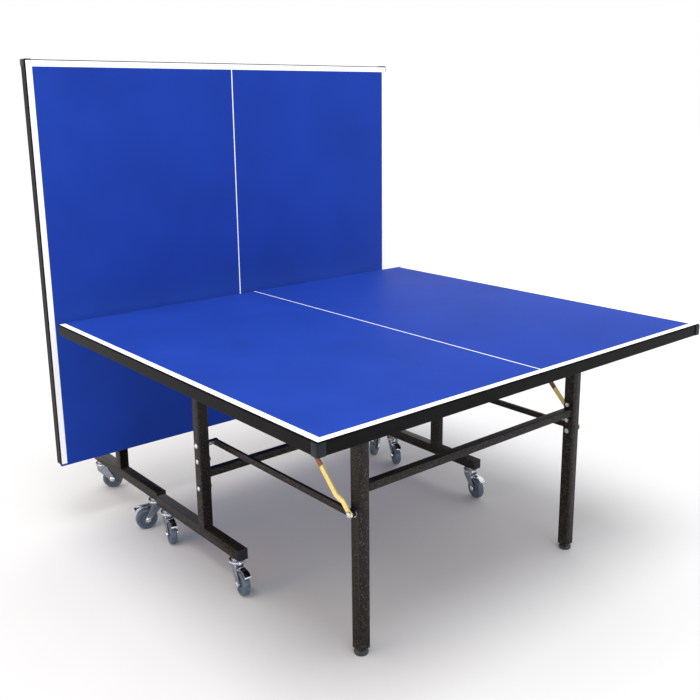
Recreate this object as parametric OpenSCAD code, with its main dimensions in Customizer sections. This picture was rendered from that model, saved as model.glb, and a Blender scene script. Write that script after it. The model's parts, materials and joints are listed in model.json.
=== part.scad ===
// Folding table-tennis table in two rolling halves.
//
// Each half is a top that tips on two wheeled T-frames. A leg frame hangs from
// the top and is steered by two link bars, so its legs stay upright as the top
// turns from flat to upright. The front half is flat and the rear half is
// upright. +X runs along the table towards the front half's end line, +Y
// across it, and the floor is at z = 0.

/* [Playing surface] */
// Length of one half, from the net to the end line
half_len = 1370; // [1300:5:1450]
// Width of the playing surface
board_w = 1525; // [1450:5:1700]
// Height of the playing surface above the floor
play_h = 760; // [745:1:800]
// Thickness of the board
board_t = 15; // [12:0.5:25]

/* [Apron] */
// Sheet thickness of the apron
apron_t = 2; // [1:0.25:3]
// Height of the apron's outer face
apron_h = 31; // [25:1:45]
// Strip of board edge left bare above the apron
apron_drop = 4; // [1:0.5:8]
// Width of the apron's two inward flanges
apron_flange = 20; // [10:1:30]
// Gap between the net edge and the apron's end
apron_set_back = 6; // [0:1:20]
// Length of a corner guard along each side
guard_len = 21; // [16:1:60]
// Wall thickness of a corner guard
guard_t = 2; // [2:0.5:5]
// Radius of a corner guard's outer corner
guard_r = 5; // [1:0.5:8]

/* [Linkage] */
// Distance from the net edge to the uprights' centre line
post_x = 461; // [420:1:500]
// Distance from the uprights to the legs
leg_span = 674; // [640:1:720]
// Gap between a board and the tubes that lie behind it when it is upright
fold_gap = 4.5; // [4:0.5:12]
// Distance of the top's pivots outboard of the tubes' centre lines
pivot_offset = 20; // [18:1:24]
// Depth of the link bars' pivots below the top's pivots
link_drop = 285; // [240:5:300]
// Distance from the table's centre line to the uprights
post_y = 521; // [500:1:540]
// Distance between the centre lines of an upright and its leg, across the table
leg_inset = 74; // [72:1:90]
// Length of a lock strut between its two pins
strut_len = 398; // [360:1:410]

/* [Tubes] */
// Outside width of the uprights, rails and legs
tube_w = 35; // [28:1:42]
// Wall thickness of every tube
wall = 1.5; // [1:0.25:3]
// Outside width of the carriage crossbar
crossbar_w = 25; // [20:1:32]
// Height of the carriage crossbar's centre line
crossbar_z = 320; // [280:1:340]
// Outside width of the leg crossbar
leg_bar_w = 25; // [20:1:32]
// Height of the leg crossbar's centre line
leg_bar_z = 481; // [470:1:560]
// Width of a link bar, across the table
link_w = 10; // [8:1:24]
// Gap between a leg and its link bar
link_gap = 5; // [3:0.5:6]
// Height of a link bar
link_h = 19; // [18:1:30]
// Width of the tubes under the board
under_w = 25; // [20:1:30]
// Thickness of the pivot plates and the crossbars' end plates
plate_t = 4; // [3:0.5:5]
// Width of the crossbars' end plates
end_plate_w = 20; // [16:1:24]

/* [Carriages] */
// Length of a rail from its upright towards the net
rail_inner = 295; // [285:1:300]
// Length of a rail from its upright away from the net
rail_outer = 212; // [205:1:260]
// Distance from an upright to the caster on its net side
caster_inner = 250; // [200:1:260]
// Distance from an upright to its outer caster
caster_outer = 181; // [60:1:190]
// Distance along the table between the front and rear uprights
post_gap = 616; // [605:1:900]
// Sideways step between the two halves
side_step = 14; // [0:1:40]

/* [Casters and feet] */
// Diameter of a caster wheel
wheel_d = 75; // [60:1:100]
// Height from the top of a caster wheel to the rail above it
head_room = 35; // [33:1:50]
// Width of a caster wheel's tread
wheel_w = 22; // [18:1:24]
// Distance a caster wheel trails behind its swivel
trail = 36; // [33:1:42]
// Diameter of a caster's swivel race
race_d = 50; // [44:1:60]
// Thickness of a caster fork's cheeks
cheek_t = 2.5; // [2:0.5:4]
// Diameter of a levelling foot's pad
foot_d = 40; // [30:1:45]
// Height of a levelling foot's pad
foot_h = 17.5; // [12:0.5:25]

/* [Fasteners and fits] */
// Diameter of the pivot bolts
pivot_d = 10; // [8:0.5:12]
// Gap between a tube's open end and the pivot bolt above it
pin_gap = 1; // [0.5:0.5:5]
// Diameter of the crossbars' bolts
bolt_d = 8; // [6:0.5:10]
// Diameter of the casters' and feet's threaded stems
stem_d = 10; // [8:0.5:12]
// Radial clearance of every pin that turns or slides
running = 0.05; // [0.01:0.01:0.1]
// Radial clearance of a fixed bolt in its hole
bolt_fit = 0.1; // [0.05:0.05:0.5]
// Gap between parts that slide past each other
side_gap = 0.3; // [0.3:0.1:0.8]

/* [Hidden] */
$fn = 48;
FLAT = 0;
UPRIGHT = 90;

// Heights
board_z = play_h - board_t;
apron_top = play_h - apron_drop;
apron_bottom = apron_top - apron_h;
pivot_drop = board_t + fold_gap + tube_w / 2 + pivot_offset;
pivot_z = play_h - pivot_drop;
link_z = pivot_z - link_drop;
under_z = board_z - under_w;
under_start = 20;
tube_top = pivot_z - pivot_d / 2 - pin_gap;
leg_bottom = foot_h + 0.5;
rail_z = wheel_d + head_room;
rail_top = rail_z + tube_w;
foot_travel = 12;

// Places along one half, measured from its net edge
leg_x = post_x + leg_span;
post_pivot_x = post_x + pivot_offset;
leg_pivot_x = leg_x + pivot_offset;

// Layers across the table, from the upright inwards to the leg
leg_y = post_y - leg_inset;
post_in = post_y - tube_w / 2;
post_out = post_y + tube_w / 2;
leg_in = leg_y - tube_w / 2;
leg_out = leg_y + tube_w / 2;
link_in = leg_out + link_gap;
link_out = link_in + link_w;
strut_t = 4;
strut_w = 16;
strut_in = link_out + 1;
strut_joggle = 10;
plate_gap = 1;
bracket_in = post_out + plate_t + plate_gap;
under_y = bracket_in + plate_t + 6.5 + under_w / 2;

// Bolt heads and plates
pivot_r = pivot_d / 2;
bolt_r = bolt_d / 2;
stem_r = stem_d / 2;
ear_r = pivot_r + 9;
washer_r = pivot_r + 3;
dome_r = pivot_r + 4;
dome_h = 7;
nut_h = 5;
post_bolt_rise = crossbar_w / 2 + 33;
leg_bolt_rise = leg_bar_w / 2 + 13.5;

// The lock strut's rest angle, its turn for each degree of fold, and its notch
strut_angle = 135;
strut_ratio = 1.6;
notch_angle = 197.6;
notch_r = 5;
notch_half = notch_r - 0.4;
catch_x = leg_x + strut_len * cos(strut_angle);
catch_z = link_z + strut_len * sin(strut_angle);
catch_y = strut_in + strut_joggle + strut_t + 6;

// The two halves on the floor, with the origin at the middle of the footprint
x_max = half_len + apron_t + guard_t;
cap_t = 2;
rear_net_x = 2 * post_x - post_gap;
x_min = rear_net_x - post_x - rail_outer - cap_t;
x_mid = (x_max + x_min) / 2;

// name, half, side of the table, distance from the upright, swivel direction
CASTERS = [
    ["front_near_inner", "front", -1, -caster_inner, -15],
    ["front_near_outer", "front", -1, caster_outer, -10],
    ["front_far_inner", "front", 1, -caster_inner, -25],
    ["front_far_outer", "front", 1, caster_outer, -12],
    ["rear_near_inner", "rear", -1, -caster_inner, -100],
    ["rear_near_outer", "rear", -1, caster_outer, 55],
    ["rear_far_inner", "rear", 1, -caster_inner, -60],
    ["rear_far_outer", "rear", 1, caster_outer, 60]
];

HALF_PARTS = [
    "tabletop", "apron_frame", "corner_guards", "under_frame",
    "near_t_frame", "far_t_frame", "crossbar", "rail_caps",
    "carriage_bolts", "caster_heads", "near_leg", "far_leg",
    "leg_crossbar", "leg_bolts", "link_bars", "lock_struts",
    "near_foot", "far_foot"
];
HALVES = ["front", "rear"];

// ---- Placing ----

function fold_of(half) = half == "front" ? FLAT : UPRIGHT;

// A half's own frame: x from its net edge outwards, floor at z = 0
module place(half) {
    if (half == "front")
        translate([-x_mid, -side_step / 2, 0]) children();
    else
        translate([rear_net_x - x_mid, side_step / 2, 0]) mirror([1, 0, 0]) children();
}

module turn_about(x, z, angle) {
    translate([x, 0, z]) rotate([0, -angle, 0]) translate([-x, 0, -z]) children();
}

module on_top(fold) {
    turn_about(post_pivot_x, pivot_z, fold) children();
}

module on_links(fold) {
    turn_about(post_x, link_z, fold) children();
}

module on_legs(fold) {
    translate([leg_span * (cos(fold) - 1), 0, leg_span * sin(fold)]) children();
}

module on_struts(fold) {
    on_legs(fold) turn_about(leg_x, link_z, strut_ratio * fold) children();
}

// Parts are drawn on the far side, +Y
module far_side() {
    children();
}

module near_side() {
    mirror([0, 1, 0]) children();
}

module both_sides() {
    far_side() children();
    near_side() children();
}

// ---- Shapes ----

// Box from its two opposite corners
module block(low, high) {
    translate(low) cube(high - low);
}

// Cylinder along Y between two distances from the centre line
module rod(x, z, r, y0, y1) {
    translate([x, y0, z]) rotate([-90, 0, 0]) cylinder(r = r, h = y1 - y0);
}

// Domed bolt head along Y: its flat side is at y0
module dome(x, z, r, y0, h) {
    translate([x, y0, z]) rotate([-90, 0, 0])
        rotate_extrude() {
            square([r, h * 0.4]);
            translate([0, h * 0.4]) intersection() {
                square([r, h * 0.6]);
                scale_r = (r * r + h * h * 0.36) / (1.2 * h);
                translate([0, h * 0.6 - scale_r]) circle(r = scale_r, $fn = 96);
            }
        }
}

// Six-sided nut along Y
module nut(x, z, r, y0, y1) {
    translate([x, y0, z]) rotate([-90, 0, 0]) cylinder(r = r, h = y1 - y0, $fn = 6);
}

// Square tube from its two opposite corners, hollow along one axis (0, 1 or 2)
module tube(low, high, axis) {
    hollow = [for (i = [0:2]) i == axis ? -1 : wall];
    difference() {
        block(low, high);
        block(low + hollow, high - hollow);
    }
}

// Flat pivot plate: a band on the tube's side that carries an eye beside its end
module pivot_ear(x, pivot_x, y0) {
    translate([0, y0 + plate_t, 0]) rotate([90, 0, 0]) linear_extrude(plate_t)
        difference() {
            union() {
                polygon([
                    [x - tube_w / 2, pivot_z - 60],
                    [x + tube_w / 2, pivot_z - 60],
                    [pivot_x + ear_r, pivot_z],
                    [pivot_x, pivot_z + 1],
                    [x - tube_w / 2, tube_top]
                ]);
                translate([pivot_x, pivot_z]) circle(r = ear_r);
            }
            translate([pivot_x, pivot_z]) circle(r = pivot_r + bolt_fit);
        }
}

// Plate that hangs from the board and turns on a pivot pin
module pivot_bracket(pivot_x, y0) {
    difference() {
        union() {
            block([pivot_x - ear_r, y0, pivot_z], [pivot_x + ear_r, y0 + plate_t, board_z]);
            rod(pivot_x, pivot_z, ear_r + 2, y0, y0 + plate_t);
        }
        rod(pivot_x, pivot_z, pivot_r + running, y0 - 1, y0 + plate_t + 1);
    }
}

// ---- Top ----

module tabletop() {
    color([0.16, 0.27, 0.72])
        block([0, -board_w / 2, board_z], [half_len, board_w / 2, play_h]);
}

// Roll-formed apron section: outer face, bottom flange and board shelf
module apron_section() {
    square([apron_t, apron_h]);
    translate([-apron_flange, 0]) square([apron_flange, apron_t]);
    translate([-apron_flange, board_z - apron_bottom - apron_t]) square([apron_flange, apron_t]);
}

module apron_frame() {
    color([0.1, 0.1, 0.11]) {
        both_sides()
            translate([apron_set_back, board_w / 2, apron_bottom]) rotate([90, 0, 90])
                linear_extrude(half_len + apron_t - apron_set_back)
                    apron_section();
        translate([half_len, board_w / 2 + apron_t, apron_bottom]) rotate([90, 0, 0])
            linear_extrude(board_w + 2 * apron_t) apron_section();
    }
}

// Square with one rounded corner, its outer corner at x, y
module guard_outline(x, y) {
    reach = guard_len + guard_t;
    translate([x - reach, y - reach]) square([reach - guard_r, reach]);
    translate([x - reach, y - reach]) square([reach, reach - guard_r]);
    translate([x - guard_r, y - guard_r]) circle(r = guard_r);
}

module corner_guards() {
    outer_x = half_len + apron_t;
    outer_y = board_w / 2 + apron_t;
    color([0.06, 0.06, 0.06])
        both_sides()
            difference() {
                translate([0, 0, apron_bottom])
                    linear_extrude(apron_h + 1)
                        guard_outline(outer_x + guard_t, outer_y + guard_t);
                block([outer_x - guard_len - 1, outer_y - guard_len - 1, apron_bottom - 1],
                    [outer_x, outer_y, apron_top + 2]);
            }
}

// Plate on the side rail with the notch that the strut's pin rests in
module strut_catch() {
    plate_x = [catch_x - 16, catch_x + 26];
    difference() {
        union() {
            block([plate_x[0], catch_y, catch_z - 15], [plate_x[1], catch_y + plate_t, board_z]);
            block([plate_x[0], catch_y, under_z + 2], [plate_x[1], under_y - under_w / 2 + 1, board_z]);
        }
        translate([catch_x, catch_y - 1, catch_z]) rotate([0, -notch_angle, 0])
            translate([0, 0, -notch_half]) cube([30, plate_t + 2, 2 * notch_half]);
        rod(catch_x, catch_z, notch_r, catch_y - 1, catch_y + plate_t + 1);
    }
}

module under_frame() {
    rail_in = under_y - under_w / 2;
    beam_x = leg_pivot_x + ear_r + 16;
    shoe_in = leg_in - plate_t - plate_gap - plate_t;
    shoe_out = leg_out + plate_t + plate_gap;
    color([0.14, 0.14, 0.15]) {
        both_sides() {
            tube([under_start, rail_in, under_z], [half_len - apron_flange, rail_in + under_w, board_z], 0);
            pivot_bracket(post_pivot_x, bracket_in);
            block([post_pivot_x - ear_r, bracket_in, under_z + 2],
                [post_pivot_x + ear_r, rail_in + 1, board_z]);
            pivot_bracket(leg_pivot_x, shoe_in);
            pivot_bracket(leg_pivot_x, shoe_out);
            block([leg_pivot_x - ear_r, shoe_in, board_z - 3],
                [beam_x + 1, shoe_out + plate_t, board_z]);
            strut_catch();
        }
        tube([beam_x, -rail_in - 1, under_z], [beam_x + under_w, rail_in + 1, board_z], 1);
    }
}

// ---- Carriage ----

// Inverted T: a rail on casters with an upright welded on it
module t_frame() {
    color([0.2, 0.19, 0.18])
        difference() {
            union() {
                tube([post_x - rail_inner, post_in, rail_z],
                    [post_x + rail_outer, post_out, rail_top], 0);
                tube([post_x - tube_w / 2, post_in, rail_top],
                    [post_x + tube_w / 2, post_out, tube_top], 2);
                pivot_ear(post_x, post_pivot_x, post_in - plate_t);
                pivot_ear(post_x, post_pivot_x, post_out);
            }
            rod(post_x, link_z, pivot_r + bolt_fit, post_in - 1, post_out + 1);
            for (rise = [-post_bolt_rise, post_bolt_rise])
                rod(post_x, crossbar_z + rise, bolt_r + bolt_fit, post_in - 1, post_out + 1);
            for (x = [-caster_inner, caster_outer])
                translate([post_x + x, post_y, rail_z - 1]) cylinder(r = stem_r + bolt_fit, h = 5);
        }
}

// Square tube across the table with a bolted plate at each end
module cross_tube(x, z, w, y, rise) {
    difference() {
        union() {
            tube([x - w / 2, -y, z - w / 2], [x + w / 2, y, z + w / 2], 1);
            both_sides()
                block([x - end_plate_w / 2, y - plate_t, z - rise - 11],
                    [x + end_plate_w / 2, y, z + rise + 11]);
        }
        both_sides()
            for (side = [-rise, rise])
                rod(x, z + side, bolt_r + bolt_fit, y - plate_t - 1, y + 1);
    }
}

module crossbar() {
    color([0.2, 0.19, 0.18]) cross_tube(post_x, crossbar_z, crossbar_w, post_in, post_bolt_rise);
}

// Plastic plug in each end of both rails
module rail_caps() {
    plug = wall + 0.1;
    module cap(x, inwards) {
        flange = inwards > 0 ? [x - cap_t, x] : [x, x + cap_t];
        shank = inwards > 0 ? [x, x + 14] : [x - 14, x];
        block([flange[0], post_in, rail_z], [flange[1], post_out, rail_top]);
        block([shank[0], post_in + plug, rail_z + plug], [shank[1], post_out - plug, rail_top - plug]);
    }
    color([0.05, 0.05, 0.05])
        both_sides() {
            cap(post_x - rail_inner, 1);
            cap(post_x + rail_outer, -1);
        }
}

// Pivot pins of the top, link bolts with their spacers, and crossbar bolts
module carriage_bolts() {
    color([0.8, 0.8, 0.82])
        both_sides() {
            rod(post_pivot_x, pivot_z, pivot_r, post_in - plate_t - 4, bracket_in + plate_t + side_gap);
            rod(post_pivot_x, pivot_z, washer_r, post_in - plate_t - 4, post_in - plate_t);
            rod(post_pivot_x, pivot_z, washer_r, bracket_in + plate_t + side_gap,
                bracket_in + plate_t + side_gap + 4);

            rod(post_x, link_z, pivot_r, link_in - side_gap - nut_h, post_out);
            rod(post_x, link_z, dome_r, link_out + side_gap, post_in);
            nut(post_x, link_z, dome_r, link_in - side_gap - nut_h, link_in - side_gap);
            dome(post_x, link_z, dome_r, post_out, dome_h);

            for (rise = [-post_bolt_rise, post_bolt_rise]) {
                rod(post_x, crossbar_z + rise, bolt_r, post_in - plate_t - nut_h, post_out);
                nut(post_x, crossbar_z + rise, bolt_r + 3.5, post_in - plate_t - nut_h, post_in - plate_t);
                dome(post_x, crossbar_z + rise, bolt_r + 4, post_out, dome_h - 2);
            }
        }
}

// ---- Legs ----

module leg() {
    color([0.2, 0.19, 0.18])
        difference() {
            union() {
                tube([leg_x - tube_w / 2, leg_in, leg_bottom], [leg_x + tube_w / 2, leg_out, tube_top], 2);
                block([leg_x - tube_w / 2 + wall, leg_in + wall, leg_bottom],
                    [leg_x + tube_w / 2 - wall, leg_out - wall, leg_bottom + 6]);
                pivot_ear(leg_x, leg_pivot_x, leg_in - plate_t);
                pivot_ear(leg_x, leg_pivot_x, leg_out);
            }
            rod(leg_x, link_z, pivot_r + bolt_fit, leg_in - 1, leg_out + 1);
            for (rise = [-leg_bolt_rise, leg_bolt_rise])
                rod(leg_x, leg_bar_z + rise, bolt_r + bolt_fit, leg_in - 1, leg_in + wall + 1);
            translate([leg_x, leg_y, leg_bottom - 1]) cylinder(r = stem_r + running, h = 8);
        }
}

module leg_crossbar() {
    color([0.2, 0.19, 0.18]) cross_tube(leg_x, leg_bar_z, leg_bar_w, leg_in, leg_bolt_rise);
}

// Pivot pins of the legs, link and strut bolts with their spacers, crossbar bolts
module leg_bolts() {
    shoe_in = leg_in - plate_t - plate_gap - plate_t;
    shoe_out = leg_out + plate_t + plate_gap + plate_t;
    head_y = strut_in + strut_t + side_gap;
    color([0.8, 0.8, 0.82])
        both_sides() {
            rod(leg_pivot_x, pivot_z, pivot_r, shoe_in - side_gap - 2, shoe_out + side_gap + 2);
            rod(leg_pivot_x, pivot_z, washer_r, shoe_in - side_gap - 4, shoe_in - side_gap);
            rod(leg_pivot_x, pivot_z, washer_r, shoe_out + side_gap, shoe_out + side_gap + 3);

            rod(leg_x, link_z, pivot_r, leg_in - nut_h, head_y + 1);
            nut(leg_x, link_z, dome_r - 0.5, leg_in - nut_h, leg_in);
            rod(leg_x, link_z, dome_r + 2, leg_out, link_in - side_gap);
            dome(leg_x, link_z, dome_r, head_y, dome_h);

            for (rise = [-leg_bolt_rise, leg_bolt_rise]) {
                rod(leg_x, leg_bar_z + rise, bolt_r, leg_in - plate_t - 1, leg_in + wall + 2);
                nut(leg_x, leg_bar_z + rise, bolt_r + 3, leg_in - plate_t - nut_h, leg_in - plate_t);
            }
        }
}

// Levelling foot: a pad on a threaded stem
module foot() {
    pad_r = foot_d / 2;
    color([0.12, 0.13, 0.14])
        translate([leg_x, leg_y, 0]) {
            rotate_extrude() polygon([
                [0, 0], [pad_r - 2, 0], [pad_r, 3], [pad_r, foot_h / 2],
                [pad_r - 8, foot_h], [0, foot_h]
            ]);
            cylinder(r = stem_r, h = foot_h + 28 + foot_travel);
        }
}

// ---- Linkage ----

module link_bars() {
    end_r = link_h / 2 - 0.3;
    color([0.2, 0.19, 0.18])
        both_sides()
            difference() {
                union() {
                    tube([post_x, link_in, link_z - link_h / 2],
                        [leg_x, link_out, link_z + link_h / 2], 0);
                    for (x = [post_x, leg_x])
                        rod(x, link_z, end_r, link_in, link_out);
                }
                for (x = [post_x, leg_x])
                    rod(x, link_z, pivot_r + running, link_in - 1, link_out + 1);
            }
}

// Flat bar from the leg bolt up to the catch, stepped outwards past the link bar
module lock_struts() {
    step_from = 40;
    step_to = 62;
    color([0.95, 0.86, 0.42])
        both_sides()
            translate([leg_x, strut_in, link_z]) rotate([0, -strut_angle, 0]) {
                difference() {
                    union() {
                        translate([0, 0, -strut_w / 2]) linear_extrude(strut_w) polygon([
                            [0, 0], [step_from, 0], [step_to, strut_joggle], [strut_len, strut_joggle],
                            [strut_len, strut_joggle + strut_t], [step_to - 2, strut_joggle + strut_t],
                            [step_from - 2, strut_t], [0, strut_t]
                        ]);
                        rotate([-90, 0, 0]) cylinder(r = pivot_r + 4.5, h = strut_t);
                    }
                    translate([0, -1, 0]) rotate([-90, 0, 0])
                        cylinder(r = pivot_r + running, h = strut_t + 2);
                }
                translate([strut_len, strut_joggle, 0]) rotate([-90, 0, 0]) {
                    cylinder(r = strut_w / 2, h = strut_t);
                    cylinder(r = 4, h = strut_t + 16);
                }
            }
}

// ---- Casters: drawn with the swivel axis at x = y = 0, trailing towards +X ----

pedal_x = 16;
pedal_z = rail_z - 28;
crown_z = rail_z - 18;
king_z = rail_z - 6;
cheek_y = wheel_w / 2 + 2.5;
axle_r = 4;
pedal_pin_r = 2.5;
wheel_r = wheel_d / 2;

module place_caster(c) {
    place(c[1]) {
        // the swivel direction is a world direction, so the rear half's mirror is undone
        translate([post_x + c[3], c[2] * post_y, 0])
            mirror([c[1] == "rear" ? 1 : 0, 0, 0]) rotate([0, 0, c[4]]) children();
    }
}

// Stem, flange and king pin, fixed in the rail
module caster_head() {
    translate([0, 0, king_z]) cylinder(r = race_d / 2 - 6, h = rail_z - king_z);
    translate([0, 0, crown_z - side_gap - 3]) cylinder(r = stem_r, h = rail_z - crown_z + 20);
    translate([0, 0, crown_z - side_gap - 3]) cylinder(r = stem_r + 3, h = 3);
    translate([0, 0, rail_z + wall + 0.1]) cylinder(r = stem_r + 4, h = 6, $fn = 6);
}

module caster_heads(half) {
    color([0.75, 0.76, 0.78])
        for (c = CASTERS)
            if (c[1] == half) place_caster(c) caster_head();
}

module fork_cheek() {
    difference() {
        union() {
            translate([0, cheek_y + cheek_t, 0]) rotate([90, 0, 0]) linear_extrude(cheek_t) polygon([
                [-race_d / 2 + 7, crown_z + 1], [race_d / 2 - 7, crown_z + 1], [race_d / 2 - 4, pedal_z - 2],
                [trail + 9, wheel_r + 4], [trail - 9, wheel_r - 4], [-race_d / 2 + 7, pedal_z - 6]
            ]);
            rod(trail, wheel_r, 10, cheek_y, cheek_y + cheek_t);
        }
        rod(trail, wheel_r, axle_r + bolt_fit, cheek_y - 1, cheek_y + cheek_t + 1);
    }
}

// Pressed fork with its bearing cup, the axle bolt and the pedal's pin
module caster_fork() {
    color([0.7, 0.71, 0.73]) {
        difference() {
            union() {
                translate([0, 0, crown_z]) cylinder(r = race_d / 2, h = king_z - side_gap - crown_z);
                both_sides() fork_cheek();
                rod(pedal_x, pedal_z, pedal_pin_r, -cheek_y - cheek_t, cheek_y + cheek_t);
            }
            translate([0, 0, crown_z - 1]) cylinder(r = stem_r + running, h = king_z - crown_z + 2);
        }
        rod(trail, wheel_r, axle_r, -cheek_y - cheek_t, cheek_y + cheek_t);
        both_sides()
            nut(trail, wheel_r, axle_r + 3, cheek_y + cheek_t + bolt_fit, cheek_y + cheek_t + 4);
    }
}

module caster_wheel() {
    half_w = wheel_w / 2;
    hub_w = half_w + 1.5;
    color([0.42, 0.5, 0.6])
        translate([trail, 0, wheel_r]) rotate([90, 0, 0])
            rotate_extrude() polygon([
                [axle_r + running, -hub_w], [axle_r + 6, -hub_w], [axle_r + 6, -half_w + 2],
                [wheel_r - 13, -half_w + 2], [wheel_r - 11, -half_w], [wheel_r - 5, -half_w],
                [wheel_r, -half_w + 5], [wheel_r, half_w - 5],
                [wheel_r - 5, half_w], [wheel_r - 11, half_w], [wheel_r - 13, half_w - 2],
                [axle_r + 6, half_w - 2], [axle_r + 6, hub_w], [axle_r + running, hub_w]
            ]);
}

// Brake pedal: a lever over the wheel with a shoe under it and a curled tip
module brake_pedal() {
    tip_x = trail + wheel_r + 4;
    lever_w = wheel_w - 2;
    color([0.75, 0.76, 0.78])
        difference() {
            union() {
                translate([0, lever_w / 2, 0]) rotate([90, 0, 0]) linear_extrude(lever_w) polygon([
                    [pedal_x, pedal_z + 1.5], [tip_x - 12, pedal_z + 1], [tip_x, pedal_z - 8],
                    [tip_x + 1.5, pedal_z - 5.5], [tip_x - 11, pedal_z + 4], [pedal_x, pedal_z + 4.5]
                ]);
                block([trail - 4, -lever_w / 2, 2 * wheel_r + 4], [trail + 5, lever_w / 2, pedal_z + 2]);
                rod(pedal_x, pedal_z, pedal_pin_r + 2.5, -lever_w / 2, lever_w / 2);
                rod(tip_x, pedal_z - 6, 3.5, -lever_w / 2, lever_w / 2);
            }
            rod(pedal_x, pedal_z, pedal_pin_r + running, -lever_w, lever_w);
        }
}

// ---- Nodes ----

for (half = HALVES) {
    fold = fold_of(half);
    place(half) {
        on_top(fold) tabletop();
        on_top(fold) apron_frame();
        on_top(fold) corner_guards();
        on_top(fold) under_frame();
        near_side() t_frame();
        far_side() t_frame();
        crossbar();
        rail_caps();
        carriage_bolts();
        on_legs(fold) near_side() leg();
        on_legs(fold) far_side() leg();
        on_legs(fold) leg_crossbar();
        on_legs(fold) leg_bolts();
        on_links(fold) link_bars();
        on_struts(fold) lock_struts();
        on_legs(fold) near_side() foot();
        on_legs(fold) far_side() foot();
    }
    caster_heads(half);
}

for (c = CASTERS) {
    place_caster(c) caster_fork();
    place_caster(c) caster_wheel();
    place_caster(c) brake_pedal();
}
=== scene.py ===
"""A folding table-tennis table in two rolling halves, dressed on its CAD frame."""
import json
import math

import bmesh
import bpy
from bpy.props import FloatProperty, FloatVectorProperty, PointerProperty
from mathutils import Matrix, Vector


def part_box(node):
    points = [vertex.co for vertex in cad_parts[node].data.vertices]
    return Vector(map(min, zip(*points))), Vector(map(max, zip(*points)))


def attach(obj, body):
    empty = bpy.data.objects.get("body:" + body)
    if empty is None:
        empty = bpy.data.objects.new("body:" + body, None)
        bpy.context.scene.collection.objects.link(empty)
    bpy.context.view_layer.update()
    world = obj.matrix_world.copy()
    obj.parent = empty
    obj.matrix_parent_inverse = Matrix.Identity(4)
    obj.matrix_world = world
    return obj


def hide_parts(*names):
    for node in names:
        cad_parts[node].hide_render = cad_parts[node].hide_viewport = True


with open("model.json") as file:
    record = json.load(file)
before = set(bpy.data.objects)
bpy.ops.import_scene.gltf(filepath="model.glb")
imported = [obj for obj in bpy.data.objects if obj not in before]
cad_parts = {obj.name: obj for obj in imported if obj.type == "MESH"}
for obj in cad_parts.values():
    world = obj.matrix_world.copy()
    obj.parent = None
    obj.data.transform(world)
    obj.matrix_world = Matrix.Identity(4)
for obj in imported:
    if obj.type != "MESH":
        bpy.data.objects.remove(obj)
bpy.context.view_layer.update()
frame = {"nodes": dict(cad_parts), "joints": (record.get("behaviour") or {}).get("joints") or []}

bl_info = {
    "name": "Folding table-tennis table",
    "version": (1, 0, 0),
    "blender": (4, 5, 0),
    "location": "3D View > Sidebar > Table",
    "description": "Adds the visible surfaces of a folding table-tennis table",
    "category": "Add Mesh",
}

MM = 0.001
HALVES = ("front", "rear")
SIDES = ("near", "far")
PLACES = ("inner", "outer")
CASTERS = [f"{half}_{side}_{place}" for half in HALVES for side in SIDES for place in PLACES]
JOINTS = {joint["name"]: joint for joint in frame["joints"]}
FOCAL_LENGTH = 45.74  # millimetres
LENS_SHIFT = (0.0025, -0.0508)
CAMERA_OFFSET = Vector((1.3893, -1.0660, 1.4542))  # from the floor under the flat half's near corner


def linear(hex_colour):
    """An sRGB hex colour as linear RGBA."""
    values = [int(hex_colour[i:i + 2], 16) / 255 for i in (1, 3, 5)]
    return [v / 12.92 if v <= 0.04045 else ((v + 0.055) / 1.055) ** 2.4 for v in values] + [1.0]


class TableSizes(bpy.types.PropertyGroup):
    """Sizes that the dressing adds to the frame"""
    line_width: FloatProperty(
        name="Edge line", description="Width of the white edge lines",
        default=20 * MM, unit="LENGTH")
    centre_width: FloatProperty(
        name="Centre line", description="Width of the white centre line",
        default=4 * MM, unit="LENGTH")
    line_start: FloatProperty(
        name="Line start", description="Bare stretch between the net edge and the side lines",
        default=8 * MM, unit="LENGTH")
    board_edge: FloatProperty(
        name="Board edge", description="Radius of the board's edges",
        default=1.2 * MM, unit="LENGTH")
    tube_corner: FloatProperty(
        name="Tube corner", description="Outside corner radius of the square tubes",
        default=2.5 * MM, unit="LENGTH")
    plate_edge: FloatProperty(
        name="Plate edge", description="Radius of pressed and moulded edges",
        default=0.7 * MM, unit="LENGTH")
    # distance from a strut's bolt at which its colour changes from pale yellow to darker orange-brown
    yellow_end: FloatProperty(
        name="Sleeve end", description="Distance from a strut's bolt to the end of its yellow sleeve",
        default=147 * MM, unit="LENGTH")


class TableColours(bpy.types.PropertyGroup):
    """Colours of the painted and moulded finishes"""
    board: FloatVectorProperty(
        name="Board", description="Colour of the playing surface", subtype="COLOR",
        size=4, min=0, max=1, default=linear("#1F3D9B"))
    lines: FloatVectorProperty(
        name="Lines", description="Colour of the lines", subtype="COLOR",
        size=4, min=0, max=1, default=linear("#FBFBFC"))
    tubes: FloatVectorProperty(
        name="Tubes", description="Colour of the hammered powder coat", subtype="COLOR",
        size=4, min=0, max=1, default=linear("#171412"))
    # the pale yellow of the struts near their bolts
    struts: FloatVectorProperty(
        name="Struts", description="Colour of the struts' plastic sleeve", subtype="COLOR",
        size=4, min=0, max=1, default=linear("#FAE58A"))
    wheels: FloatVectorProperty(
        name="Wheels", description="Colour of the casters' tyres", subtype="COLOR",
        size=4, min=0, max=1, default=linear("#4A5866"))


# ---- Materials ----

def add(tree, kind, values=None, links=None, stops=(), **settings):
    """Adds a node with its settings, input values, colour stops, and the nodes or sockets that feed it."""
    node = tree.nodes.new(kind)
    for key, value in settings.items():
        setattr(node, key, value)
    for key, value in (values or {}).items():
        node.inputs[key].default_value = value
    for key, source in (links or {}).items():
        socket = source.outputs[0] if isinstance(source, bpy.types.Node) else source
        tree.links.new(socket, node.inputs[key])
    for index, (position, colour) in enumerate(stops):
        points = node.color_ramp.elements
        point = points[index] if index < 2 else points.new(position)
        point.position, point.color = position, colour
    return node


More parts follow.
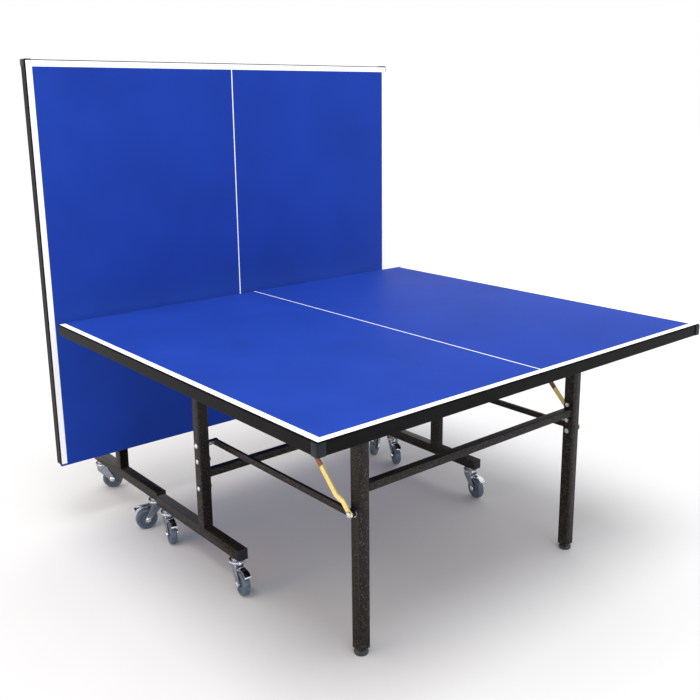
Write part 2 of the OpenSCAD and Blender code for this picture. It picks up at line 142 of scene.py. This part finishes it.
def empty_material(name):
    """A material with no nodes, and its tree."""
    material = bpy.data.materials.new(name)
    material.use_nodes = True
    material.node_tree.nodes.clear()
    return material, material.node_tree


def shade(colour, factor):
    """A colour made darker or lighter."""
    return [min(1.0, part * factor) for part in colour[:3]] + [1.0]


def painted_board(half):
    """Roller-painted fibreboard: a satin sheen over a very fine orange peel, with printed lines."""
    sizes, colours = bpy.context.scene.table_sizes, bpy.context.scene.table_colours
    low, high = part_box(f"{half}_tabletop")
    along, length_axis, face_axis = ("X", 0, 2) if half == "front" else ("Z", 2, 0)
    half_width = (high.y - low.y) / 2
    net_edge, end_line = low[length_axis], high[length_axis]
    edge = 0.8 * MM
    material, tree = empty_material(f"painted_fibreboard_{half}")
    place = add(tree, "ShaderNodeTexCoord").outputs["Object"]
    parts = add(tree, "ShaderNodeSeparateXYZ", links={0: place})
    length, through = parts.outputs[along], parts.outputs["XYZ"[face_axis]]
    offset = add(tree, "ShaderNodeMath", {1: (low.y + high.y) / 2}, {0: parts.outputs["Y"]},
                 operation="SUBTRACT")
    across = add(tree, "ShaderNodeMath", links={0: offset}, operation="ABSOLUTE")

    side = add(tree, "ShaderNodeMath", {1: half_width - sizes.line_width}, {0: across},
               operation="GREATER_THAN")
    started = add(tree, "ShaderNodeMath", {1: net_edge + sizes.line_start}, {0: length},
                  operation="GREATER_THAN")
    side_line = add(tree, "ShaderNodeMath", links={0: side, 1: started}, operation="MULTIPLY")
    centre = add(tree, "ShaderNodeMath", {1: sizes.centre_width / 2}, {0: across}, operation="LESS_THAN")
    end = add(tree, "ShaderNodeMath", {1: end_line - sizes.line_width}, {0: length}, operation="GREATER_THAN")
    inner_lines = add(tree, "ShaderNodeMath", links={0: centre, 1: end}, operation="MAXIMUM")
    lines = add(tree, "ShaderNodeMath", links={0: side_line, 1: inner_lines}, operation="MAXIMUM")

    # slow drift of the paint's tone across the board
    cloud = add(tree, "ShaderNodeTexNoise", {"Scale": 1 / (260 * MM), "Detail": 2}, {"Vector": place})
    blue = add(tree, "ShaderNodeValToRGB", links={"Fac": cloud},
               stops=[(0.3, shade(colours.board, 0.93)), (0.7, shade(colours.board, 1.08))])
    face = add(tree, "ShaderNodeMix", {7: colours.lines}, {0: lines, 6: blue}, data_type="RGBA")

    # the board's edges and back are sealed in near-black
    rim = add(tree, "ShaderNodeMath", {1: half_width - edge}, {0: across}, operation="GREATER_THAN")
    tip = add(tree, "ShaderNodeMath", {1: end_line - edge}, {0: length}, operation="GREATER_THAN")
    back = add(tree, "ShaderNodeMath", {1: high[face_axis] - 2 * MM}, {0: through}, operation="LESS_THAN")
    ends = add(tree, "ShaderNodeMath", links={0: rim, 1: tip}, operation="MAXIMUM")
    sealed = add(tree, "ShaderNodeMath", links={0: back, 1: ends}, operation="MAXIMUM")
    base = add(tree, "ShaderNodeMix", {7: linear("#141318")}, {0: sealed, 6: face.outputs[2]},
               data_type="RGBA")

    # the roller leaves a 9 mm drift in the gloss and a 1.6 mm peel
    drift = add(tree, "ShaderNodeTexNoise", {"Scale": 1 / (9 * MM), "Detail": 2}, {"Vector": place})
    gloss = add(tree, "ShaderNodeMapRange", {"To Min": 0.5, "To Max": 0.58}, {"Value": drift})
    peel = add(tree, "ShaderNodeTexNoise", {"Scale": 1 / (1.6 * MM), "Detail": 2}, {"Vector": place})
    relief = add(tree, "ShaderNodeBump", {"Distance": 0.02 * MM, "Strength": 0.35}, {"Height": peel})
    shader = add(tree, "ShaderNodeBsdfPrincipled", {"Specular IOR Level": 0.03},
                 {"Base Color": base.outputs[2], "Roughness": gloss, "Normal": relief})
    add(tree, "ShaderNodeOutputMaterial", links={"Surface": shader})
    return material


def hammered_coat():
    """Hammered powder coat: dark cells with paler flecks, drawn at 4 mm so that they show."""
    colour = bpy.context.scene.table_colours.tubes
    material, tree = empty_material("hammered_powder_coat")
    place = add(tree, "ShaderNodeTexCoord").outputs["Object"]
    cells = add(tree, "ShaderNodeTexVoronoi", {"Scale": 1 / (5 * MM), "Randomness": 1.0}, {"Vector": place})
    flecks = add(tree, "ShaderNodeTexNoise", {"Scale": 1 / (4 * MM), "Detail": 3, "Roughness": 0.6},
                 {"Vector": place})
    base = add(tree, "ShaderNodeValToRGB", links={"Fac": flecks},
               stops=[(0.40, shade(colour, 0.4)), (0.53, colour), (0.68, linear("#504740"))])
    gloss = add(tree, "ShaderNodeMapRange", {"To Min": 0.34, "To Max": 0.48}, {"Value": flecks})
    relief = add(tree, "ShaderNodeBump", {"Distance": 0.5 * MM, "Strength": 0.6}, {"Height": cells})
    shader = add(tree, "ShaderNodeBsdfPrincipled", {"Specular IOR Level": 0.16},
                 {"Base Color": base, "Roughness": gloss, "Normal": relief})
    add(tree, "ShaderNodeOutputMaterial", links={"Surface": shader})
    return material


def coated(name, dark, pale, spacing, low, high, specular=0.3):
    """Powder coat or moulded plastic: a drifting tone, an uneven gloss and a fine surface texture."""
    material, tree = empty_material(name)
    place = add(tree, "ShaderNodeTexCoord").outputs["Object"]
    drift = add(tree, "ShaderNodeTexNoise", {"Scale": 1 / spacing, "Detail": 2}, {"Vector": place})
    base = add(tree, "ShaderNodeValToRGB", links={"Fac": drift},
               stops=[(0.32, linear(dark)), (0.72, linear(pale))])
    patches = add(tree, "ShaderNodeTexNoise", {"Scale": 1 / (5 * MM), "Detail": 2}, {"Vector": place})
    gloss = add(tree, "ShaderNodeMapRange", {"To Min": low, "To Max": high}, {"Value": patches})
    peel = add(tree, "ShaderNodeTexNoise", {"Scale": 1 / (1.4 * MM), "Detail": 2}, {"Vector": place})
    relief = add(tree, "ShaderNodeBump", {"Distance": 0.05 * MM, "Strength": 0.4}, {"Height": peel})
    shader = add(tree, "ShaderNodeBsdfPrincipled", {"Specular IOR Level": specular},
                 {"Base Color": base, "Roughness": gloss, "Normal": relief})
    add(tree, "ShaderNodeOutputMaterial", links={"Surface": shader})
    return material


def plated(name, dull, bright, low, high):
    """Zinc or nickel plate on pressed or turned steel: metal with a faint mottle in its gloss."""
    material, tree = empty_material(name)
    place = add(tree, "ShaderNodeTexCoord").outputs["Object"]
    mottle = add(tree, "ShaderNodeTexNoise", {"Scale": 1 / (5 * MM), "Detail": 4}, {"Vector": place})
    base = add(tree, "ShaderNodeValToRGB", links={"Fac": mottle},
               stops=[(0.3, linear(dull)), (0.7, linear(bright))])
    patches = add(tree, "ShaderNodeTexNoise", {"Scale": 1 / (2 * MM), "Detail": 2}, {"Vector": place})
    gloss = add(tree, "ShaderNodeMapRange", {"To Min": low, "To Max": high}, {"Value": patches})
    peel = add(tree, "ShaderNodeTexNoise", {"Scale": 1 / (1.2 * MM), "Detail": 2}, {"Vector": place})
    relief = add(tree, "ShaderNodeBump", {"Distance": 0.02 * MM, "Strength": 0.3}, {"Height": peel})
    shader = add(tree, "ShaderNodeBsdfPrincipled", {"Metallic": 1.0},
                 {"Base Color": base, "Roughness": gloss, "Normal": relief})
    add(tree, "ShaderNodeOutputMaterial", links={"Surface": shader})
    return material


def cast_tyre():
    """Cast polyurethane tread: blue-grey, and scuffed where it rolls."""
    colour = bpy.context.scene.table_colours.wheels
    material, tree = empty_material("cast_polyurethane")
    place = add(tree, "ShaderNodeTexCoord").outputs["Object"]
    scuffs = add(tree, "ShaderNodeTexNoise", {"Scale": 1 / (7 * MM), "Detail": 3}, {"Vector": place})
    base = add(tree, "ShaderNodeValToRGB", links={"Fac": scuffs},
               stops=[(0.35, shade(colour, 0.8)), (0.75, shade(colour, 1.5))])
    gloss = add(tree, "ShaderNodeMapRange", {"To Min": 0.3, "To Max": 0.55}, {"Value": scuffs})
    peel = add(tree, "ShaderNodeTexNoise", {"Scale": 1 / (1.5 * MM), "Detail": 2}, {"Vector": place})
    relief = add(tree, "ShaderNodeBump", {"Distance": 0.05 * MM, "Strength": 0.4}, {"Height": peel})
    shader = add(tree, "ShaderNodeBsdfPrincipled", {},
                 {"Base Color": base, "Roughness": gloss, "Normal": relief})
    add(tree, "ShaderNodeOutputMaterial", links={"Surface": shader})
    return material


def yellow_brown_strut(half):
    """Flat steel strut: pale yellow near its bolt on the leg, then darker orange-brown further up."""
    sizes, colours = bpy.context.scene.table_sizes, bpy.context.scene.table_colours
    material, tree = empty_material(f"yellow_brown_strut_{half}")
    place = add(tree, "ShaderNodeTexCoord").outputs["Object"]
    pivot = JOINTS[f"{half}_strut"]["pos_m"]
    flat = add(tree, "ShaderNodeVectorMath", {1: (1, 0, 1)}, {0: place}, operation="MULTIPLY")
    reach = add(tree, "ShaderNodeVectorMath", {1: (pivot[0], 0, pivot[2])}, {0: flat}, operation="DISTANCE")
    # beyond a set distance from the bolt the strut is coloured darker orange-brown instead of pale yellow
    beyond_yellow = add(tree, "ShaderNodeMath", {1: sizes.yellow_end}, {0: reach.outputs["Value"]},
               operation="GREATER_THAN")
    wear = add(tree, "ShaderNodeTexNoise", {"Scale": 1 / (8 * MM), "Detail": 3}, {"Vector": place})
    yellow = add(tree, "ShaderNodeValToRGB", links={"Fac": wear},
                 stops=[(0.3, shade(colours.struts, 0.86)), (0.7, colours.struts)])
    brown = add(tree, "ShaderNodeValToRGB", links={"Fac": wear},
                stops=[(0.3, linear("#6B3505")), (0.7, linear("#A3601A"))])
    base = add(tree, "ShaderNodeMix", links={0: beyond_yellow, 6: yellow, 7: brown}, data_type="RGBA")
    gloss = add(tree, "ShaderNodeMapRange", {"To Min": 0.32, "To Max": 0.48}, {"Value": wear})
    peel = add(tree, "ShaderNodeTexNoise", {"Scale": 1 / (2 * MM), "Detail": 2}, {"Vector": place})
    relief = add(tree, "ShaderNodeBump", {"Distance": 0.05 * MM, "Strength": 0.4}, {"Height": peel})
    shader = add(tree, "ShaderNodeBsdfPrincipled", {},
                 {"Base Color": base.outputs[2], "Roughness": gloss, "Normal": relief})
    add(tree, "ShaderNodeOutputMaterial", links={"Surface": shader})
    return material


def studio_floor():
    """Matt white paper sweep, with the faintest tooth."""
    material, tree = empty_material("paper_sweep")
    place = add(tree, "ShaderNodeTexCoord").outputs["Object"]
    drift = add(tree, "ShaderNodeTexNoise", {"Scale": 1 / (900 * MM)}, {"Vector": place})
    base = add(tree, "ShaderNodeValToRGB", links={"Fac": drift},
               stops=[(0.2, linear("#D6D6D6")), (0.8, linear("#DCDCDC"))])
    shader = add(tree, "ShaderNodeBsdfPrincipled", {"Roughness": 1.0, "Specular IOR Level": 0.0},
                 {"Base Color": base})
    add(tree, "ShaderNodeOutputMaterial", links={"Surface": shader})
    return material


FINISHES = {}


def finish(name):
    """A shared material, made once."""
    makers = {
        "hammered": hammered_coat,
        "smooth": lambda: coated("smooth_powder_coat", "#060606", "#0D0D0D", 40 * MM, 0.34, 0.44, 0.07),
        "guard": lambda: coated("moulded_guard_plastic", "#13171D", "#1D2229", 12 * MM, 0.24, 0.36, 0.16),
        "cap": lambda: coated("moulded_cap_plastic", "#0B0B0C", "#1A1A1D", 12 * MM, 0.45, 0.6),
        "foot": lambda: coated("moulded_foot_nylon", "#101214", "#24262B", 12 * MM, 0.16, 0.28, 0.6),
        "washer": lambda: coated("moulded_washer_nylon", "#0E1438", "#1A2358", 6 * MM, 0.35, 0.5),
        "hub": lambda: coated("moulded_hub_nylon", "#39424E", "#56606E", 6 * MM, 0.35, 0.5, 0.5),
        "bolt": lambda: plated("zinc_plated_bolts", "#B4B8BE", "#E6E9ED", 0.22, 0.36),
        "fork": lambda: plated("zinc_plated_pressings", "#80868E", "#B2B8C0", 0.26, 0.42),
        "chrome": lambda: plated("bright_nickel", "#CDD0D4", "#F4F5F7", 0.12, 0.22),
        "tyre": cast_tyre,
    }
    if name not in FINISHES:
        FINISHES[name] = makers[name]()
    return FINISHES[name]


# ---- Making ----

def only(piece):
    """Deselects everything else and makes the piece active."""
    bpy.ops.object.select_all(action="DESELECT")
    piece.select_set(True)
    bpy.context.view_layer.objects.active = piece


def settle(piece):
    """Puts the piece's place in its mesh, with its object at the origin."""
    only(piece)
    bpy.ops.object.transform_apply(location=True, rotation=True, scale=True)


def dress(piece, material, body):
    """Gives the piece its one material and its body."""
    piece.data.materials.clear()
    piece.data.materials.append(material)
    only(piece)
    bpy.ops.object.shade_smooth_by_angle(angle=math.radians(35))
    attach(piece, body)
    return piece


def round_edges(piece, radius, shortest, segments):
    """Bevels the sharp outward edges that are at least as long as the shortest."""
    only(piece)
    bpy.ops.object.mode_set(mode="EDIT")
    bpy.ops.mesh.select_mode(type="EDGE")
    bpy.ops.mesh.select_all(action="DESELECT")
    mesh = bmesh.from_edit_mesh(piece.data)
    sharp = math.radians(55)
    for edge in mesh.edges:
        if len(edge.link_faces) == 2 and edge.is_convex and edge.calc_length() >= shortest:
            edge.select_set(edge.calc_face_angle() > sharp)
    bmesh.update_edit_mesh(piece.data)
    bpy.ops.mesh.bevel(offset=radius, segments=segments, affect="EDGES", clamp_overlap=True)
    bpy.ops.object.mode_set(mode="OBJECT")


def rounded_copy(node, name, radius, shortest, segments=3):
    """A copy of a CAD node with real edge radii. It stands for the node."""
    source = frame["nodes"][node]
    piece = bpy.data.objects.new(name, source.data.copy())
    bpy.context.scene.collection.objects.link(piece)
    only(piece)
    bpy.ops.object.mode_set(mode="EDIT")
    bpy.ops.mesh.select_all(action="SELECT")
    bpy.ops.mesh.remove_doubles(threshold=0.01 * MM)
    bpy.ops.mesh.dissolve_limited(angle_limit=math.radians(0.5))
    bpy.ops.object.mode_set(mode="OBJECT")
    round_edges(piece, radius, shortest, segments)
    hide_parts(node)
    return piece


def turned(name, radius, depth, steps, segments=64):
    """A turned piece along Y: a cylinder whose two faces are inset and pushed in step by step."""
    bpy.ops.object.select_all(action="DESELECT")
    bpy.ops.mesh.primitive_cylinder_add(
        vertices=segments, radius=radius, depth=depth, rotation=(math.pi / 2, 0, 0))
    piece = bpy.context.object
    piece.name = name
    settle(piece)
    bpy.ops.object.mode_set(mode="EDIT")
    bpy.ops.mesh.select_mode(type="FACE")
    for outward in (-1, 1):
        bpy.ops.mesh.select_all(action="DESELECT")
        mesh = bmesh.from_edit_mesh(piece.data)
        mesh.faces.ensure_lookup_table()
        cap = max(mesh.faces, key=lambda face: face.normal.y * outward * (len(face.verts) > 4))
        cap.select_set(True)
        bmesh.update_edit_mesh(piece.data)
        for inset, push in steps:
            bpy.ops.mesh.inset(thickness=inset, depth=0)
            bpy.ops.transform.translate(value=(0, push * outward, 0))
    bpy.ops.object.mode_set(mode="OBJECT")
    return piece


def ring(name, radius, thickness):
    """A ring that lies flat."""
    bpy.ops.object.select_all(action="DESELECT")
    bpy.ops.mesh.primitive_torus_add(
        major_radius=radius, minor_radius=thickness, major_segments=56, minor_segments=14)
    piece = bpy.context.object
    piece.name = name
    settle(piece)
    return piece


def copied(piece, name, matrix):
    """The piece again in another place, with its own mesh."""
    other = bpy.data.objects.new(name, piece.data.copy())
    bpy.context.scene.collection.objects.link(other)
    other.data.transform(matrix)
    return other


def discard(*pieces):
    for piece in pieces:
        bpy.data.objects.remove(piece)


def caster_place(caster):
    """From a caster's own frame, with its swivel axis up the middle, to where it stands."""
    swivel = Vector(JOINTS[f"{caster}_swivel"]["pos_m"])
    axle = Vector(JOINTS[f"{caster}_roll"]["pos_m"])
    heading = math.atan2(axle.y - swivel.y, axle.x - swivel.x)
    return Matrix.Translation((swivel.x, swivel.y, 0)) @ Matrix.Rotation(heading, 4, "Z")


class Maker(bpy.types.Operator):
    bl_options = {"REGISTER", "UNDO"}

    def execute(self, context):
        self.make(context.scene.table_sizes)
        return {"FINISHED"}


class TABLE_OT_boards(Maker):
    """Adds the two painted boards"""
    bl_idname = "table.make_boards"
    bl_label = "Boards"

    def make(self, sizes):
        for half in HALVES:
            piece = rounded_copy(f"{half}_tabletop", f"{half}_board", sizes.board_edge, 100 * MM)
            dress(piece, painted_board(half), f"{half}_top")


class TABLE_OT_aprons(Maker):
    """Adds the aprons, the corner guards and the frames under the boards"""
    bl_idname = "table.make_aprons"
    bl_label = "Aprons and under frames"

    def make(self, sizes):
        for half in HALVES:
            body = f"{half}_top"
            apron = rounded_copy(f"{half}_apron_frame", f"{half}_apron", 0.5 * MM, 100 * MM, 2)
            dress(apron, finish("smooth"), body)
            guards = rounded_copy(f"{half}_corner_guards", f"{half}_guards", sizes.plate_edge, 5 * MM)
            dress(guards, finish("guard"), body)
            under = rounded_copy(f"{half}_under_frame", f"{half}_under", 1.5 * MM, 100 * MM)
            dress(under, finish("smooth"), body)


class TABLE_OT_tubes(Maker):
    """Adds the hammered tubes: T-frames, legs, crossbars and link bars"""
    bl_idname = "table.make_tubes"
    bl_label = "Tubes"

    def make(self, sizes):
        groups = {"carriage": ("near_t_frame", "far_t_frame", "crossbar"),
                  "legs": ("near_leg", "far_leg", "leg_crossbar"), "links": ("link_bars",)}
        for half in HALVES:
            for body, parts in groups.items():
                for part in parts:
                    piece = rounded_copy(f"{half}_{part}", f"{half}_{part}_tube", sizes.tube_corner, 60 * MM)
                    dress(piece, finish("hammered"), f"{half}_{body}")


class TABLE_OT_fittings(Maker):
    """Adds the rail caps, the washers and the finish of the bolts"""
    bl_idname = "table.make_fittings"
    bl_label = "Fittings"

    def make(self, sizes):
        washer = turned("washer", 13 * MM, 2.4 * MM, [(1.2 * MM, 0.5 * MM), (2.0 * MM, 0)])
        for half in HALVES:
            caps = rounded_copy(f"{half}_rail_caps", f"{half}_caps", sizes.plate_edge, 5 * MM)
            dress(caps, finish("cap"), f"{half}_carriage")
            for node in ("carriage_bolts", "leg_bolts", "caster_heads"):
                assign(f"{half}_{node}", finish("bolt"))
            self.washers(half, washer)
        discard(washer)

    def washers(self, half, washer):
        """A nylon washer on each leg, under the spacer of its link bar."""
        pivot = Vector(JOINTS[f"{half}_strut"]["pos_m"])
        plate = 4 * MM  # the leg's pivot plates stand this far out from the tube
        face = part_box(f"{half}_far_leg")[1].y - plate - pivot.y
        for side, sign in (("near", -1), ("far", 1)):
            centre = Vector((pivot.x, pivot.y + sign * (face + 1.3 * MM), pivot.z))
            piece = copied(washer, f"{half}_{side}_washer", Matrix.Translation(centre))
            dress(piece, finish("washer"), f"{half}_legs")


def assign(node, material):
    """Gives a CAD node its material."""
    mesh = frame["nodes"][node].data
    if not mesh.materials:
        mesh.materials.append(material)
    for index in range(len(mesh.materials)):
        mesh.materials[index] = material


class TABLE_OT_struts(Maker):
    """Adds the lock struts"""
    bl_idname = "table.make_struts"
    bl_label = "Lock struts"

    def make(self, sizes):
        for half in HALVES:
            struts = rounded_copy(f"{half}_lock_struts", f"{half}_struts", 1.2 * MM, 30 * MM)
            dress(struts, yellow_brown_strut(half), f"{half}_struts")


class TABLE_OT_feet(Maker):
    """Adds the moulded levelling feet"""
    bl_idname = "table.make_feet"
    bl_label = "Feet"

    def make(self, sizes):
        for half in HALVES:
            for side in SIDES:
                piece = rounded_copy(f"{half}_{side}_foot", f"{half}_{side}_foot_pad", 1.0 * MM, 2 * MM)
                dress(piece, finish("foot"), f"{half}_{side}_foot_body")


class TABLE_OT_casters(Maker):
    """Adds the casters: forks, bearing rings, tyres, hubs and pedals"""
    bl_idname = "table.make_casters"
    bl_label = "Casters"

    def make(self, sizes):
        roll = JOINTS[f"{CASTERS[0]}_roll"]["pos_m"]
        swivel = JOINTS[f"{CASTERS[0]}_swivel"]["pos_m"]
        trail = math.hypot(roll[0] - swivel[0], roll[1] - swivel[1])
        axle = Matrix.Translation((trail, 0, roll[2]))
        fork_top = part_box(f"{CASTERS[0]}_fork")[1].z
        radius = roll[2]
        tyre = turned("tyre", radius, 22 * MM, [(11 * MM, 0), (1.5 * MM, -2 * MM), (4 * MM, 0)])
        round_edges(tyre, 4 * MM, 0.5 * MM, 4)
        hub = turned("hub", radius - 14 * MM, 20.5 * MM, [
            (2 * MM, 0), (1 * MM, -2 * MM), (9 * MM, 0), (1 * MM, 3.5 * MM), (4 * MM, 0)])
        cover = turned("cover", 9.5 * MM, 4 * MM, [(2.5 * MM, 1.6 * MM), (3 * MM, 1.0 * MM)], 40)
        race = ring("race", 24 * MM, 2.4 * MM)
        for caster in CASTERS:
            place = caster_place(caster)
            fork = rounded_copy(f"{caster}_fork", f"{caster}_pressed_fork", 0.6 * MM, 6 * MM, 2)
            dress(fork, finish("fork"), f"{caster}_fork_body")
            at_race = place @ Matrix.Translation((0, 0, fork_top - 6 * MM))
            dress(copied(race, f"{caster}_race", at_race), finish("chrome"),
                  f"{caster}_fork_body")
            rolling = copied(tyre, f"{caster}_tyre", place @ axle)
            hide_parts(f"{caster}_wheel")
            dress(rolling, finish("tyre"), f"{caster}_wheel_body")
            dress(copied(hub, f"{caster}_hub", place @ axle), finish("hub"),
                  f"{caster}_wheel_body")
            for word, sign in (("left", 1), ("right", -1)):
                at_cover = place @ axle @ Matrix.Translation((0, sign * 18 * MM, 0))
                dress(copied(cover, f"{caster}_{word}_cover", at_cover), finish("chrome"),
                      f"{caster}_fork_body")
            pedal = rounded_copy(f"{caster}_pedal", f"{caster}_brake_pedal", 0.5 * MM, 6 * MM, 2)
            dress(pedal, finish("chrome"), f"{caster}_pedal_body")
        discard(tyre, hub, cover, race)


class TABLE_OT_stage(Maker):
    """Adds the floor, the lights and the camera"""
    bl_idname = "table.make_stage"
    bl_label = "Stage"

    def make(self, sizes):
        scene = bpy.context.scene
        bpy.ops.object.select_all(action="DESELECT")
        bpy.ops.mesh.primitive_plane_add(size=60)
        floor = bpy.context.object
        floor.name = "floor"
        floor.data.materials.append(studio_floor())
        world = bpy.data.worlds.new("studio")
        world.use_nodes = True
        background = world.node_tree.nodes["Background"]
        background.inputs["Color"].default_value = (1, 1, 1, 1)
        background.inputs["Strength"].default_value = 1.0
        scene.world = world
        self.lamp("overhead", "SUN", (0.6, -0.8, 5.0), 1.8, math.radians(35), "#FFFFFF")
        self.lamp("near side", "AREA", (-0.5, -5.0, 1.6), 45, 2.0, "#FFB896")
        self.lamp("end", "AREA", (5.5, -1.0, 0.9), 80, 2.4, "#CFE2FF")
        scene.view_settings.view_transform = "Standard"
        self.camera(scene)

    def lamp(self, name, kind, place, power, spread, colour):
        """A soft light aimed at the table. Spread is a sun's angle, or the side of a square light."""
        light = bpy.data.lights.new(name, kind)
        light.energy = power
        light.color = linear(colour)[:3]
        if kind == "SUN":
            light.angle = spread
        else:
            light.size = spread
        lamp = bpy.data.objects.new(name, light)
        bpy.context.scene.collection.objects.link(lamp)
        lamp.location = place
        aim = Vector((-0.1, 0, 0.6)) - lamp.location
        lamp.rotation_euler = aim.to_track_quat("-Z", "Y").to_euler()

    def camera(self, scene):
        """Stands off the flat half's near corner, at the height of the upright board's top."""
        low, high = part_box("front_tabletop")
        corner = Vector((high.x, low.y, 0))
        lens = bpy.data.cameras.new("camera")
        lens.lens = FOCAL_LENGTH
        lens.shift_x, lens.shift_y = LENS_SHIFT
        camera = bpy.data.objects.new("camera", lens)
        scene.collection.objects.link(camera)
        heading, tilt, roll = (math.radians(angle) for angle in (50.311, 90 - 13.474, -0.608))
        camera.matrix_world = (
            Matrix.Translation(corner + CAMERA_OFFSET) @ Matrix.Rotation(heading, 4, "Z")
            @ Matrix.Rotation(tilt, 4, "X") @ Matrix.Rotation(roll, 4, "Z"))
        scene.camera = camera


MAKERS = (TABLE_OT_boards, TABLE_OT_aprons, TABLE_OT_tubes, TABLE_OT_fittings,
          TABLE_OT_struts, TABLE_OT_feet, TABLE_OT_casters, TABLE_OT_stage)


class TABLE_PT_panel(bpy.types.Panel):
    """Lists the table's sizes, colours and makers"""
    bl_idname = "TABLE_PT_panel"
    bl_label = "Table-tennis table"
    bl_space_type = "VIEW_3D"
    bl_region_type = "UI"
    bl_category = "Table"

    def draw(self, context):
        for group in (context.scene.table_sizes, context.scene.table_colours):
            for name in group.__annotations__:
                self.layout.prop(group, name)
        for maker in MAKERS:
            self.layout.operator(maker.bl_idname)


CLASSES = (TableSizes, TableColours) + MAKERS + (TABLE_PT_panel,)


def register():
    for cls in CLASSES:
        bpy.utils.register_class(cls)
    bpy.types.Scene.table_sizes = PointerProperty(type=TableSizes)
    bpy.types.Scene.table_colours = PointerProperty(type=TableColours)


def unregister():
    del bpy.types.Scene.table_colours
    del bpy.types.Scene.table_sizes
    for cls in reversed(CLASSES):
        bpy.utils.unregister_class(cls)


def main():
    register()
    bpy.ops.table.make_boards()
    bpy.ops.table.make_aprons()
    bpy.ops.table.make_tubes()
    bpy.ops.table.make_fittings()
    bpy.ops.table.make_struts()
    bpy.ops.table.make_feet()
    bpy.ops.table.make_casters()
    bpy.ops.table.make_stage()


if __name__ == "__main__":
    main()
